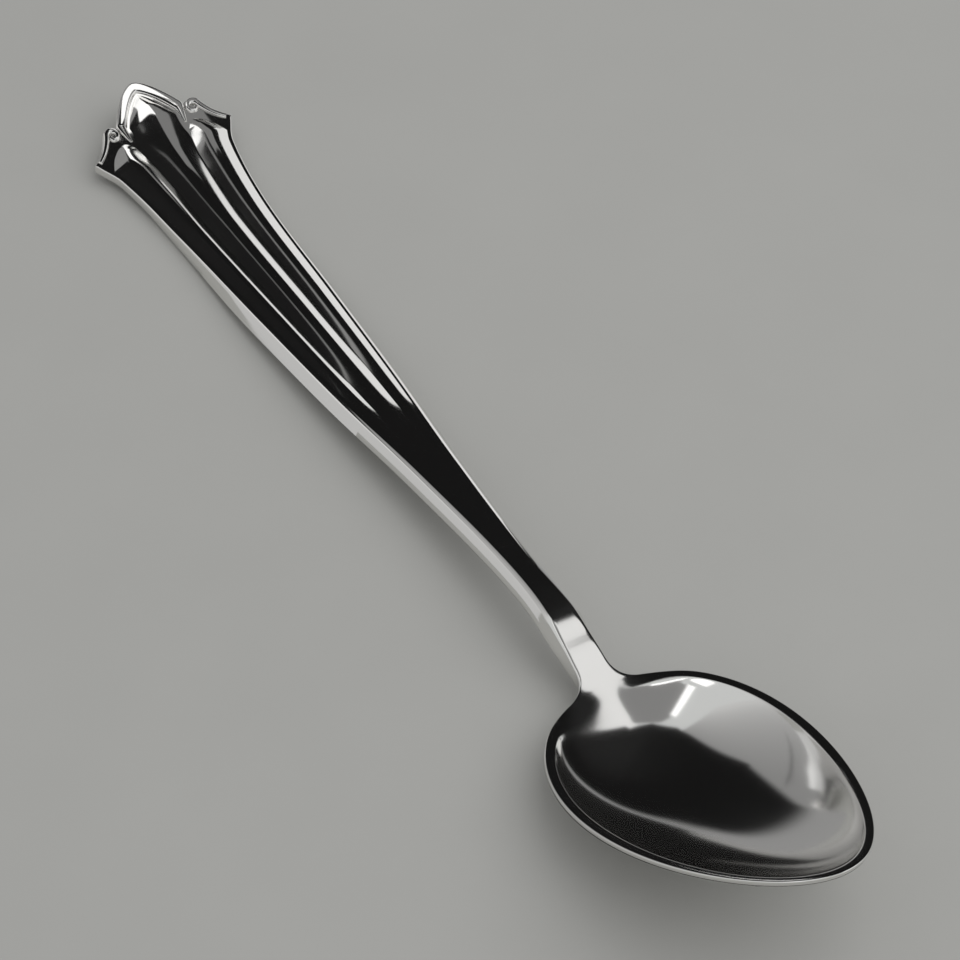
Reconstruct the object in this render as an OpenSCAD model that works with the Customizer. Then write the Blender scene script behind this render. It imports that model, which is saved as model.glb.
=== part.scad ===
// Teaspoon with a reeded, fan-shaped handle end.
// One struck piece of plated metal, drawn here as its named forms, which meet face to face.
// The spoon lies along X with the bowl at +X, on the table at z = 0.

/* [Overall] */
// Length of the spoon from the handle's point to the bowl's tip
spoon_l = 141; // [125:1:155]

/* [Bowl] */
// Length of the bowl
bowl_l = 41; // [36:0.5:46]
// Width that the bowl would have without its egg shape
bowl_w = 24.8; // [22:0.1:27]
// Share by which the bowl narrows toward its tip and widens toward its heel
egg_share = 0.24; // [0.16:0.01:0.28]
// Depth of the inside below the rim, at the deepest place
bowl_depth = 5.7; // [5:0.1:7]
// Wall at the deepest place
bowl_wall = 0.9; // [0.7:0.05:1.3]
// Width of the flat on top of the rim
rim_w = 1.1; // [0.8:0.05:1.5]
// Height of the rim's outer edge
rim_t = 1.0; // [0.8:0.05:1.4]
// How far the bowl's tip stands above its heel
rim_rise = 15.6; // [12:0.1:18]
// Share of that rise that comes from the rim's curve, seen from the side
rim_curve_share = 0.62; // [0.4:0.01:0.7]
// Place of the deepest point, as a share of the bowl's length from the heel
deep_share = 0.42; // [0.36:0.01:0.5]
// How far the heel dips below the line of the rim
heel_dip = 0.1; // [0:0.05:0.4]

/* [Handle widths] */
// Across the two corners of the fan-shaped end
corner_w = 17; // [15:0.1:18.6]
// Across the end just past the corners
flare_w = 14; // [12.5:0.1:14.8]
// Across the end where the flare dies away
blade_w = 11.2; // [10:0.1:12.2]
// Across the handle at a quarter of its length
quarter_w = 9.2; // [8:0.1:9.8]
// Across the handle at half its length
middle_w = 7.2; // [6.4:0.1:7.8]
// Across the stem
stem_w = 4.6; // [4:0.1:5.4]
// Across the narrowest place
waist_w = 2.6; // [2.4:0.1:3.2]
// Across the neck, where it meets the bowl
heel_w = 3.6; // [3.4:0.1:4.4]

/* [Handle heights] */
// Height of the top edge above the table, at the end's point
point_z = 4.6; // [3.8:0.1:5.4]
// At the corners
corner_z = 2.25; // [2:0.05:2.6]
// Where the upturned end levels out
curl_z = 1.85; // [1.75:0.05:2]
// At the blade, the handle's lowest place
blade_z = 1.7; // [1.5:0.05:1.9]
// At a quarter of the handle
quarter_z = 2.8; // [2.4:0.05:3.3]
// At half the handle
middle_z = 3.9; // [3.4:0.1:4.6]
// At the stem
stem_z = 5.1; // [4.6:0.1:5.8]
// At the waist
waist_z = 6.4; // [5.8:0.1:7.2]
// Where the neck begins to fall away toward the bowl
crest_z = 6.35; // [6:0.05:6.7]
// Halfway down that fall
fall_z = 5; // [4.6:0.05:5.4]

/* [Handle thickness] */
// Thickness at the end
end_t = 1.2; // [1:0.05:1.5]
// Thickness at the blade, under the reeds
blade_t = 1.75; // [1.6:0.05:2]
// Thickness at half the handle
middle_t = 2.2; // [1.9:0.1:2.6]
// Thickness at the waist
waist_t = 2.7; // [2.3:0.1:3.1]
// Thickness of the neck at the bowl
heel_t = 2.0; // [1.6:0.1:2.4]
// Width of the bevel along the edges
bevel = 0.35; // [0.2:0.05:0.5]
// How far the sides lean out below the top edge
side_lean = 0.65; // [0.4:0.05:0.8]
// Depth below the top at which the handle is widest
lean_depth = 1.2; // [1:0.05:1.4]

/* [Reeds] */
// Height of the reeds above the valleys between them
reed_h = 0.62; // [0.4:0.02:0.8]
// Place of the valleys, as a share of the half width of the handle
valley_share = 0.375; // [0.33:0.005:0.42]
// Width of the flat border outside the reeds
border_w = 0.55; // [0.4:0.05:0.8]
// Width of the bottom of a valley
valley_w = 0.12; // [0.08:0.02:0.2]
// Place where the reeds die away, as a share of the spoon's length
reed_end_share = 0.44; // [0.4:0.01:0.48]

/* [Moulded end] */
// Distance from the end's point to the two notches
notch_x = 4.3; // [3.8:0.1:4.8]
// Half the distance between the notches
notch_y = 4.2; // [3.8:0.1:4.6]
// Distance from the end's point to the corners
corner_x = 7.7; // [7.2:0.1:8.4]
// Width of the bead round the end
bead_w = 1.0; // [0.8:0.05:1.2]
// Height of the bead above the plate
bead_h = 0.55; // [0.4:0.05:0.7]
// Outer radius of the scrolls
scroll_r = 0.85; // [0.7:0.05:1]
// Thickness of the scroll's coil
scroll_w = 0.55; // [0.4:0.05:0.65]

/* [Hidden] */

// Counts of steps along and around the forms
handle_steps = 38;
lobe_steps = 12;
side_steps = 8;
stem_steps = 16;
neck_steps = 26;
reed_sides = 9;
bowl_around = 76;
bowl_rings = 10;
bead_steps = 30;
scroll_steps = 30;
tube_sides = 8;

// Places along the handle, measured from the end's point
flare_x = corner_x + 0.024 * spoon_l;
ramp_x = corner_x + 0.3;
curl_x = 0.095 * spoon_l;
blade_x = 0.156 * spoon_l;
quarter_x = 0.27 * spoon_l;
middle_x = 0.38 * spoon_l;
stem_x = 0.482 * spoon_l;
waist_x = 0.605 * spoon_l;
crest_x = 0.649 * spoon_l;
fall_x = 0.677 * spoon_l;
heel_x = spoon_l - bowl_l;
throat_x = heel_x - 0.012 * spoon_l;
reed_end_x = reed_end_share * spoon_l;
neck_start_x = 0.58 * spoon_l;
tongue_x = heel_x + 0.1 * bowl_l;
cheek_x = heel_x + 0.2 * bowl_l;

// Depth by which the two feet are cut flat where the spoon rests
foot_flat = 0.06;
// Overlap that a cutting body has past the surface that it cuts
past = 0.5;
silver = [0.8, 0.8, 0.79];

// Smooth curve through the values V at the places X
function slot_of(x, X) = max([for (i = [0 : len(X) - 2]) if (i == 0 || x >= X[i]) i]);
function slope_of(i, X, V) =
    let (a = max(0, i - 1), b = min(len(X) - 1, i + 1))
    (V[b] - V[a]) / (X[b] - X[a]);
function curve_at(x, X, V) =
    let (i = slot_of(x, X), d = X[i + 1] - X[i], t = (x - X[i]) / d,
        m = slope_of(i, X, V) * d, n = slope_of(i + 1, X, V) * d)
    V[i] * (2 * t * t * t - 3 * t * t + 1) + m * (t * t * t - 2 * t * t + t)
        + V[i + 1] * (3 * t * t - 2 * t * t * t) + n * (t * t * t - t * t);

// The bowl: its egg-shaped outline, its rim line from the side and its two surfaces
bowl_mid_x = heel_x + bowl_l / 2;
deep_x = heel_x + deep_share * bowl_l;
depth_power = 0.78;
function egg(a) = [bowl_mid_x + bowl_l / 2 * cos(a), bowl_w / 2 * sin(a) * (1 - egg_share * cos(a))];
function rise_at(x) =
    let (s = (x - heel_x) / bowl_l)
    rim_rise * ((1 - rim_curve_share) * s + rim_curve_share * s * s);
function hollow(r) = pow(1 - r * r, depth_power);
function toward_deep(p, r) = [deep_x + (p[0] - deep_x) * r, p[1] * r];
function inner_share(p) = 1 - rim_w / norm([p[0] - deep_x, p[1]]);
under_depth = bowl_depth + bowl_wall - rim_t;
// Height of the heel that lays the bowl's lowest place on the table
lowest = min([for (a = [0, 180], i = [0 : bowl_rings * 4])
    let (r = i / (bowl_rings * 4), x = toward_deep(egg(a), r)[0]) rise_at(x) - rim_t - under_depth * hollow(r)]);
heel_z = -lowest - foot_flat;
function rim_z(x) = heel_z + rise_at(x);

// The handle: half width, height of its top edge and thickness at x
WIDTH_X = [corner_x, flare_x, blade_x, quarter_x, middle_x, stem_x, waist_x, throat_x];
WIDTHS = [corner_w, flare_w, blade_w, quarter_w, middle_w, stem_w, waist_w, heel_w];
HEIGHT_X = [ramp_x, curl_x, blade_x, quarter_x, middle_x, stem_x, waist_x, crest_x, fall_x, heel_x,
    tongue_x, cheek_x];
HEIGHTS = [ramp_z(ramp_x), curl_z, blade_z, quarter_z, middle_z, stem_z, waist_z, crest_z, fall_z,
    heel_z - heel_dip, rim_z(tongue_x), rim_z(cheek_x)];
THICK_X = [0, corner_x, blade_x, middle_x, waist_x, throat_x];
THICKS = [end_t, end_t, blade_t, middle_t, waist_t, heel_t];
function ramp_z(x) = point_z + (corner_z - point_z) * x / corner_x;
function half_w(x) = curve_at(max(x, corner_x), WIDTH_X, WIDTHS) / 2;
function top_z(x) = x <= ramp_x ? ramp_z(x) : curve_at(x, HEIGHT_X, HEIGHTS);
function under_z(x) = max(top_z(x) - curve_at(x, THICK_X, THICKS), 0);
// The sides stand upright at the moulded end and at the bowl, and lean out between them
function clip(t) = max(0, min(1, t));
function lean_share(x) =
    min(clip((x - curl_x) / (blade_x - curl_x)), clip((throat_x - x) / (throat_x - crest_x)));
// The rim's line, which runs down into the neck's at the heel
function lip_z(x) = x < tongue_x ? top_z(x) : rim_z(x);

// A closed skin over loops of points that all have the same count
module skin(loops) {
    n = len(loops[0]);
    last = len(loops) - 1;
    polyhedron(
        points = [for (l = loops) each l],
        faces = concat(
            [[for (j = [n - 1 : -1 : 0]) j]],
            [for (i = [0 : last - 1], j = [0 : n - 1])
                [(i + 1) * n + (j + 1) % n, (i + 1) * n + j, i * n + j]],
            [for (i = [0 : last - 1], j = [0 : n - 1])
                [i * n + (j + 1) % n, (i + 1) * n + (j + 1) % n, i * n + j]],
            [[for (j = [0 : n - 1]) last * n + j]]
        )
    );
}

// Cross section of the bar at x, from the lower left round to the upper left. It has bevelled
// edges, the half width w at its top and u at its underside, and it is widest below the top.
function bar_section(x, w, u, top, under) =
    let (k = lean_share(x), out = side_lean * k, edge = w + out * bevel / lean_depth,
        wide_z = (under + bevel) * (1 - k) + (top - lean_depth) * k)
    [
        [x, -u + bevel, under],
        [x, -u - out, wide_z],
        [x, -edge, top - bevel],
        [x, -w + bevel, top],
        [x, w - bevel, top],
        [x, edge, top - bevel],
        [x, u + out, wide_z],
        [x, u - bevel, under]
    ];
module bar(stations) {
    skin([for (x = stations) bar_section(x, half_w(x), half_w(x), top_z(x), under_z(x))]);
}
function spread(from_x, to_x, steps) = [for (i = [0 : steps]) from_x + (to_x - from_x) * i / steps];

// The outline of the moulded end, seen from above, for the side at +Y.
// A scroll's centre is measured from its notch, and the sweep's bow from its scroll's bump.
arch_power = 5 / 3;
scroll_in = 0.95;
scroll_out = 0.8;
scroll_at = [notch_x + scroll_in, notch_y + scroll_out];
edge_gap = 0.05;
sweep_in = 0.2;
sweep_bow = 0.7;
bump_r = scroll_r + scroll_w / 2 + edge_gap;
bump_from = 220;
bump_to = 120;
function polar(at, r, a) = [at[0] + r * cos(a), at[1] + r * sin(a)];
function bend(a, b, c, t) = (1 - t) * (1 - t) * a + 2 * t * (1 - t) * b + t * t * c;
corner = [corner_x, corner_w / 2];
bump_end = polar(scroll_at, bump_r, bump_to);
sweep_ctrl = [(bump_end[0] + corner[0]) / 2 + sweep_in, bump_end[1] + sweep_bow];
function arch(u) = [notch_x * pow(abs(u), arch_power), notch_y * u];
END_SIDE = concat(
    [for (i = [0 : 12]) arch(i / 12)],
    [for (i = [1 : 6]) polar(scroll_at, bump_r, bump_from + (bump_to - bump_from) * i / 6)],
    [for (i = [1 : 6]) bend(bump_end, sweep_ctrl, corner, i / 6)],
    [[reed_end_x + past, corner_w / 2]]
);
function mirrored(pts) = [for (i = [len(pts) - 1 : -1 : 0]) [pts[i][0], -pts[i][1]]];
module end_outline() {
    tall = point_z * 2;
    linear_extrude(height = tall)
        polygon(concat(END_SIDE, mirrored([for (i = [1 : len(END_SIDE) - 1]) END_SIDE[i]])));
}

// A half-round moulding that stands on the flat ramp of the end, along a path in plan.
// Each path entry is [x, y, half width, height].
module moulding(path) {
    last = len(path) - 1;
    skin([for (i = [0 : last])
        let (p = path[i], a = path[max(i - 1, 0)], b = path[min(i + 1, last)],
            d = [b[0] - a[0], b[1] - a[1]], s = [-d[1], d[0]] / norm(d))
        [for (j = [0 : tube_sides])
            let (t = 180 - 180 * j / tube_sides, x = p[0] + s[0] * p[2] * cos(t))
            [x, p[1] + s[1] * p[2] * cos(t), ramp_z(x) + p[3] * sin(t)]]]);
}

// The bead's path: inside the arch from notch to notch, then a tapering tail past each notch
function arch_slope(u) = arch_power * notch_x / notch_y * pow(abs(u), arch_power - 1) * sign(u);
function arch_inside(u, off) =
    let (n = [1, -arch_slope(u)] / norm([1, arch_slope(u)])) arch(u) + n * off;
bead_off = bead_w / 2 + edge_gap;
tail_bow = 0.1;
tail_gap = 0.25;
tail_end_gap = 0.45;
tail_l = 1.35;
tail_thin_share = 0.7;
tail_a = arch_inside(1, bead_off);
tail_b = [scroll_at[0] - tail_bow, scroll_at[1] - bump_r - tail_gap];
tail_c = [scroll_at[0] + tail_l, scroll_at[1] - bump_r - tail_end_gap];
tail_steps = 6;
function tail_taper(t) = 1 - tail_thin_share * t;
BEAD_TAIL = [for (i = [1 : tail_steps])
    let (t = i / tail_steps, p = bend(tail_a, tail_b, tail_c, t))
    [p[0], p[1], bead_w / 2 * tail_taper(t), bead_h * tail_taper(t)]];
BEAD_PATH = concat(
    [for (i = [len(BEAD_TAIL) - 1 : -1 : 0])
        [BEAD_TAIL[i][0], -BEAD_TAIL[i][1], BEAD_TAIL[i][2], BEAD_TAIL[i][3]]],
    [for (i = [0 : bead_steps])
        let (p = arch_inside(2 * i / bead_steps - 1, bead_off)) [p[0], p[1], bead_w / 2, bead_h]],
    BEAD_TAIL
);

// A scroll's path: a border from the corner inward, then a coil that tightens
coil_from = 120;
coil_turn = 310;
coil_end_r = 0.32;
coil_thin_share = 0.35;
coil_start = polar(scroll_at, scroll_r, coil_from);
border_thin_share = 0.4;
border_start_gap = 0.62;
border_in = 0.3;
border_bow = 0.75;
border_start = [corner_x + edge_gap, corner_w / 2 - border_start_gap];
border_ctrl = [(coil_start[0] + corner_x) / 2 + border_in, coil_start[1] + border_bow];
border_steps = 8;
function scroll_path(side) = concat(
    [for (i = [0 : border_steps - 1])
        let (t = i / border_steps, p = bend(border_start, border_ctrl, coil_start, t),
            w = 1 - border_thin_share * (1 - t))
        [p[0], side * p[1], scroll_w / 2 * w, bead_h * w]],
    [for (i = [0 : scroll_steps])
        let (t = i / scroll_steps, r = scroll_r + (coil_end_r - scroll_r) * t,
            p = polar(scroll_at, r, coil_from + coil_turn * t), w = 1 - coil_thin_share * t)
        [p[0], side * p[1], scroll_w / 2 * w, bead_h * w]]
);

// Height of the reeds: they rise from a dome at the end and fade out along the handle
reed_gap = 0.1;
lobe_off = bead_w + 2 * edge_gap + reed_gap;
side_lead = 1.25;
side_gap = 0.85;
side_start = [scroll_at[0] + side_lead, scroll_at[1] - side_gap];
dome_l = 3.6;
thin_end = 0.04;
fade_power = 1.3;
function fade(x) = 1 - pow(clip((x - blade_x) / (reed_end_x - blade_x)), fade_power);
function dome(x, from_x) = sqrt(1 - pow(1 - clip((x - from_x + thin_end) / dome_l), 2));
function reed_rise(x, from_x) = max(thin_end, reed_h * fade(x) * dome(x, from_x));

// Stations of the plate: one flat ramp, then closer steps near the flare
step_power = 1.2;
function plate_x(i) = ramp_x + (reed_end_x - ramp_x) * pow(i / handle_steps, step_power);
PLATE_STATIONS = concat([0], [for (i = [0 : handle_steps]) plate_x(i)]);

// Half width of the centre reed past its rounded end, and the two sides of an outer reed
lobe_last = arch_inside(1, lobe_off);
function valley(x) = valley_share * half_w(x);
function centre_edge(x) = min(lobe_last[1], valley(x) - valley_w / 2);
outer_l = 3;
outer_power = 0.45;
inner_l = 1.1;
inner_power = 0.5;
function grown(x, l, power) = pow(clip((x - side_start[0]) / l), power);
function side_outer(x) =
    min(side_start[1] + (flare_w / 2 - side_start[1]) * grown(x + thin_end, outer_l, outer_power),
        half_w(x) - border_w);
function side_inner(x) =
    side_start[1] + (valley(x) + valley_w / 2 - side_start[1]) * grown(x, inner_l, inner_power);

// One reed: a rounded ridge between two edges, standing on the plate
function reed_section(x, y_from, y_to, rise) =
    let (mid = (y_from + y_to) / 2, half = (y_to - y_from) / 2)
    [for (j = [0 : reed_sides])
        let (s = 2 * j / reed_sides - 1) [x, mid + half * s, top_z(x) + rise * (1 - s * s)]];

module handle_plate() {
    color(silver) intersection() {
        bar(PLATE_STATIONS);
        end_outline();
    }
}

// The centre reed's end runs along the inside of the bead, then down to the valleys
module reed_centre() {
    lobe_x = arch_inside(0, lobe_off)[0];
    first_share = 0.03;
    color(silver) skin(concat(
        [for (i = [0 : lobe_steps])
            let (p = arch_inside(max(i / lobe_steps, first_share), lobe_off))
            reed_section(p[0], -p[1], p[1], reed_rise(p[0], lobe_x))],
        [for (x = [for (i = [1 : side_steps]) lobe_last[0] + (ramp_x - lobe_last[0]) * i / side_steps])
            reed_section(x, -centre_edge(x), centre_edge(x), reed_rise(x, lobe_x))],
        [for (i = [1 : handle_steps])
            let (x = plate_x(i)) reed_section(x, -centre_edge(x), centre_edge(x), reed_rise(x, lobe_x))]
    ));
}

module side_reed(side) {
    start_power = 1.6;
    stations = concat(
        [for (i = [0 : side_steps - 1])
            side_start[0] + (ramp_x - side_start[0]) * pow(i / side_steps, start_power)],
        [for (i = [0 : handle_steps]) plate_x(i)]);
    skin([for (x = stations)
        side > 0 ? reed_section(x, side_inner(x), side_outer(x), reed_rise(x, side_start[0]))
            : reed_section(x, -side_outer(x), -side_inner(x), reed_rise(x, side_start[0]))]);
}

module reed_left() {
    color(silver) side_reed(-1);
}

module reed_right() {
    color(silver) side_reed(1);
}

module end_bead() {
    color(silver) moulding(BEAD_PATH);
}

module scroll_left() {
    color(silver) moulding(scroll_path(-1));
}

module scroll_right() {
    color(silver) moulding(scroll_path(1));
}

module stem() {
    color(silver) bar(spread(reed_end_x, neck_start_x, stem_steps));
}

// Rings of the bowl, all with the same count of points
function ring(r, z_of) = [for (j = [0 : bowl_around - 1])
    let (p = toward_deep(egg(-360 * j / bowl_around), r)) [p[0], p[1], z_of(p, r)]];
function under_surface(p, r) = lip_z(p[0]) - rim_t - under_depth * hollow(r);
UNDER_RINGS = [for (i = [1 : bowl_rings]) ring(sin(90 * i / bowl_rings),
    function (p, r) under_surface(p, r))];
RIM_RING = ring(1, function (p, r) lip_z(p[0]));
function inner_ring(r) = [for (j = [0 : bowl_around - 1])
    let (e = egg(-360 * j / bowl_around), p = toward_deep(e, inner_share(e) * r))
    [p[0], p[1], lip_z(p[0]) - bowl_depth * hollow(r)]];
INNER_RINGS = [for (i = [bowl_rings : -1 : 1]) inner_ring(sin(90 * i / bowl_rings))];
UNDER_POLE = [deep_x, 0, under_surface([deep_x, 0], 0)];
INNER_POLE = [deep_x, 0, rim_z(deep_x) - bowl_depth];
LID_POLE = [deep_x, 0, rim_z(deep_x)];

// A closed shell from one pole through rings to the other pole
module ringed(first, rings, last_pole) {
    n = len(rings[0]);
    k = len(rings);
    end = 1 + n * k;
    polyhedron(
        points = concat([first], [for (l = rings) each l], [last_pole]),
        faces = concat(
            [for (j = [0 : n - 1]) [1 + (j + 1) % n, 1 + j, 0]],
            [for (i = [0 : k - 2], j = [0 : n - 1])
                [1 + (i + 1) * n + (j + 1) % n, 1 + (i + 1) * n + j, 1 + i * n + j]],
            [for (i = [0 : k - 2], j = [0 : n - 1])
                [1 + i * n + (j + 1) % n, 1 + (i + 1) * n + (j + 1) % n, 1 + i * n + j]],
            [for (j = [0 : n - 1]) [1 + (k - 1) * n + j, 1 + (k - 1) * n + (j + 1) % n, end]]
        )
    );
}

// Everything above the table
module above_table() {
    translate([0, -bowl_w, 0]) cube([spoon_l + past, bowl_w * 2, rim_rise * 2]);
}

module bowl() {
    color(silver) intersection() {
        ringed(UNDER_POLE, concat(UNDER_RINGS, [RIM_RING], INNER_RINGS), INNER_POLE);
        above_table();
    }
}

// The bowl with its mouth closed by a lid at the rim, for cutting the neck
module bowl_filled() {
    ringed(UNDER_POLE, concat(UNDER_RINGS, [RIM_RING]), LID_POLE);
}

// The neck widens at its top into the bowl's heel and keeps a narrow underside
neck_end_x = heel_x + 0.13 * bowl_l;
tongue_w = 3.2;
step_down = 0.06;
neck_flare = 5;
flare_power = 1.8;
neck_clear = 0.3;
function flare_at(x) =
    half_w(x) + neck_flare * pow(clip((x - throat_x) / (neck_end_x - throat_x)), flare_power);
function neck_top(x) = x < heel_x ? top_z(x) : top_z(heel_x) - step_down;
function neck_under(x) = max(top_z(x) - curve_at(min(x, throat_x), THICK_X, THICKS), neck_clear);
function neck_section(x) =
    bar_section(x, flare_at(x), min(half_w(x), tongue_w / 2), neck_top(x),
        x < throat_x ? under_z(x) : neck_under(x));
module neck() {
    color(silver) difference() {
        skin([for (x = spread(neck_start_x, neck_end_x, neck_steps)) neck_section(x)]);
        bowl_filled();
    }
}

// The origin is under the middle of the spoon, on the table
module in_frame() {
    translate([-spoon_l / 2, 0, 0]) children();
}

in_frame() bowl();
in_frame() neck();
in_frame() stem();
in_frame() handle_plate();
in_frame() reed_left();
in_frame() reed_centre();
in_frame() reed_right();
in_frame() end_bead();
in_frame() scroll_left();
in_frame() scroll_right();
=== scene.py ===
"""A teaspoon with a reeded, fan-shaped handle end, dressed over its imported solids."""

import math

import bmesh
import bpy
import numpy as np
from bpy.props import FloatProperty, FloatVectorProperty, PointerProperty
from mathutils import Matrix, Vector


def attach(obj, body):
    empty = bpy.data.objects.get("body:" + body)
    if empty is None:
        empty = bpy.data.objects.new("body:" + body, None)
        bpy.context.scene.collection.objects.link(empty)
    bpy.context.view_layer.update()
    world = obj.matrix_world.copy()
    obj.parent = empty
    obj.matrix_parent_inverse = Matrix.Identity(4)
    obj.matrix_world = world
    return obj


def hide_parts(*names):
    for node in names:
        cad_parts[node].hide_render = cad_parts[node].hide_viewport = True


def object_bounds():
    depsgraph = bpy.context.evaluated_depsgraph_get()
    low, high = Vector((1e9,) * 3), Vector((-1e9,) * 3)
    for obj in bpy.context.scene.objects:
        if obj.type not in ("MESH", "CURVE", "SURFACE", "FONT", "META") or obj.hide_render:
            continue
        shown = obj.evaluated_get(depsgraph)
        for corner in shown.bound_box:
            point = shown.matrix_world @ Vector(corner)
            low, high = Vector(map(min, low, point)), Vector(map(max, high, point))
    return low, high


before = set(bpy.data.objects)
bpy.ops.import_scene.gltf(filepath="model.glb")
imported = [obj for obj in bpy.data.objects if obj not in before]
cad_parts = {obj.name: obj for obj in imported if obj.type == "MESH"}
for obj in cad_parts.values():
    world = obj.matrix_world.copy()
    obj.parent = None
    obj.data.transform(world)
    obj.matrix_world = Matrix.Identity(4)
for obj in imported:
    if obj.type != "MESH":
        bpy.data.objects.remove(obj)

bl_info = {
    "name": "Reeded Teaspoon",
    "version": (1, 0, 0),
    "blender": (4, 5, 0),
    "location": "3D View > Sidebar > Teaspoon",
    "description": "Builds a polished teaspoon with a reeded handle and a small studio",
    "category": "Add Mesh",
}

MM = 0.001
CAD_BOX = [list(corner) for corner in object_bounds()]
LENGTH = CAD_BOX[1][0] - CAD_BOX[0][0]


# Sizes and colours that a user would change

def size(name, value, text):
    """A length property in metres, given in millimetres."""
    return FloatProperty(name=name, description=text, default=value * MM, unit="LENGTH",
                         precision=5)


def share(name, value, text):
    return FloatProperty(name=name, description=text, default=value, min=0, max=1, subtype="FACTOR")


class BowlSizes(bpy.types.PropertyGroup):
    length: size("Length", 41, "Length of the bowl")
    width: size("Width", 24.8, "Width that the bowl would have without its egg shape")
    egg: share("Egg share", 0.24, "Share by which the bowl narrows toward its tip")
    depth: size("Depth", 5.7, "Depth of the inside below the rim")
    wall: size("Wall", 0.9, "Wall at the deepest place")
    rim_width: size("Rim width", 1.1, "Width of the flat on top of the rim")
    rim_height: size("Rim height", 0.55, "Height of the rim's outer edge")
    rise: size("Rise", 15.6, "How far the tip stands above the heel")
    rise_curve: share("Rise curve", 0.62, "Share of the rise that comes from the rim's curve")
    deepest: share("Deepest place", 0.42, "Deepest place, as a share of the length from the heel")
    dip: size("Heel dip", -0.045, "How far the heel dips below the rim's line. Negative: it rises")


class HandleSizes(bpy.types.PropertyGroup):
    edge: size("Edge rounding", 0.42, "Rounding of the long edges of the handle")
    plate_edge: size("End rounding", 0.2, "Rounding of the edges of the moulded end")
    lean: size("Side lean", 0.85, "How far the sides lean out below the top edge")
    lean_depth: size("Lean depth", 1.6, "Depth below the top at which the handle is widest")
    reed_height: size("Reed height", 0.62, "Limits how high a reed stands above the valleys")
    steepness: share("Reed steepness", 0.43, "Height of a reed as a share of its half width")
    crest: share("Reed crest", 0.35, "Share of the half width that the round crest takes")
    valley: share("Valley place", 0.375, "Place of the valleys, as a share of the half width")
    valley_width: size("Valley width", 0.06, "Width of the bottom of a valley")
    border: size("Border", 0.55, "Width of the flat border outside the reeds")


class EndSizes(bpy.types.PropertyGroup):
    bead_width: size("Bead width", 1.25, "Width of the bead round the end")
    bead_height: size("Bead height", 0.55, "Height of the bead above the plate")
    scroll_radius: size("Scroll radius", 0.72, "Radius of the scroll's outer turn")
    scroll_width: size("Scroll width", 0.8, "Thickness of the scroll's coil")


class Finish(bpy.types.PropertyGroup):
    colour: FloatVectorProperty(name="Silver", description="Colour of the polished plating",
                                subtype="COLOR", default=(0.86, 0.85, 0.83), min=0, max=1)
    tarnish: FloatVectorProperty(name="Tarnish", description="Colour where the plating has dulled",
                                 subtype="COLOR", default=(0.62, 0.60, 0.56), min=0, max=1)
    roughness: share("Roughness", 0.02, "Roughness of the polish")
    scratches: share("Scratches", 0.5, "Strength of the fine scratches from use")


class Studio(bpy.types.PropertyGroup):
    floor: FloatVectorProperty(name="Floor", description="Colour of the floor", subtype="COLOR",
                               default=(0.475, 0.475, 0.457), min=0, max=1)
    lamps: FloatProperty(name="Lamps", description="Strength of the lamps", default=1.0, min=0)


GROUPS = {"spoon_bowl": BowlSizes, "spoon_handle": HandleSizes, "spoon_end": EndSizes,
          "spoon_finish": Finish, "spoon_studio": Studio}


def sizes(group):
    """The lengths of a property group in millimetres, and its shares as they are."""
    picked = getattr(bpy.context.scene, group)
    found = {}
    for key, prop in picked.bl_rna.properties.items():
        if prop.type == "FLOAT" and not prop.is_array:
            found[key] = getattr(picked, key) / (MM if prop.unit == "LENGTH" else 1)
    return type("Sizes", (), found)


# The spoon's lines, in millimetres from the handle's point, the middle line and the table

HALF_LENGTH = LENGTH / MM / 2


def smooth(x, places, values):
    """The smooth curve through values at places, as the solids have it."""
    places, values = np.asarray(places, float), np.asarray(values, float)
    x = np.asarray(x, float)
    count = len(places)
    after = np.minimum(np.arange(count) + 1, count - 1)
    before = np.maximum(np.arange(count) - 1, 0)
    slopes = (values[after] - values[before]) / (places[after] - places[before])
    i = np.clip(np.searchsorted(places, x, side="right") - 1, 0, count - 2)
    d = places[i + 1] - places[i]
    t = (x - places[i]) / d
    return (values[i] * (2 * t**3 - 3 * t**2 + 1) + slopes[i] * d * (t**3 - 2 * t**2 + t)
            + values[i + 1] * (3 * t**2 - 2 * t**3) + slopes[i + 1] * d * (t**3 - t**2))


def soft_min(a, b, reach):
    """The lower of two heights, blended where they are within reach of each other."""
    h = np.clip(0.5 + 0.5 * (b - a) / reach, 0, 1)
    return b * (1 - h) + a * h - reach * h * (1 - h)


def bent(a, b, c, t):
    """A point on the curve from a to c that leaves and arrives toward b."""
    a, b, c = (np.asarray(p, float) for p in (a, b, c))
    return (1 - t) ** 2 * a + 2 * t * (1 - t) * b + t * t * c


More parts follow.
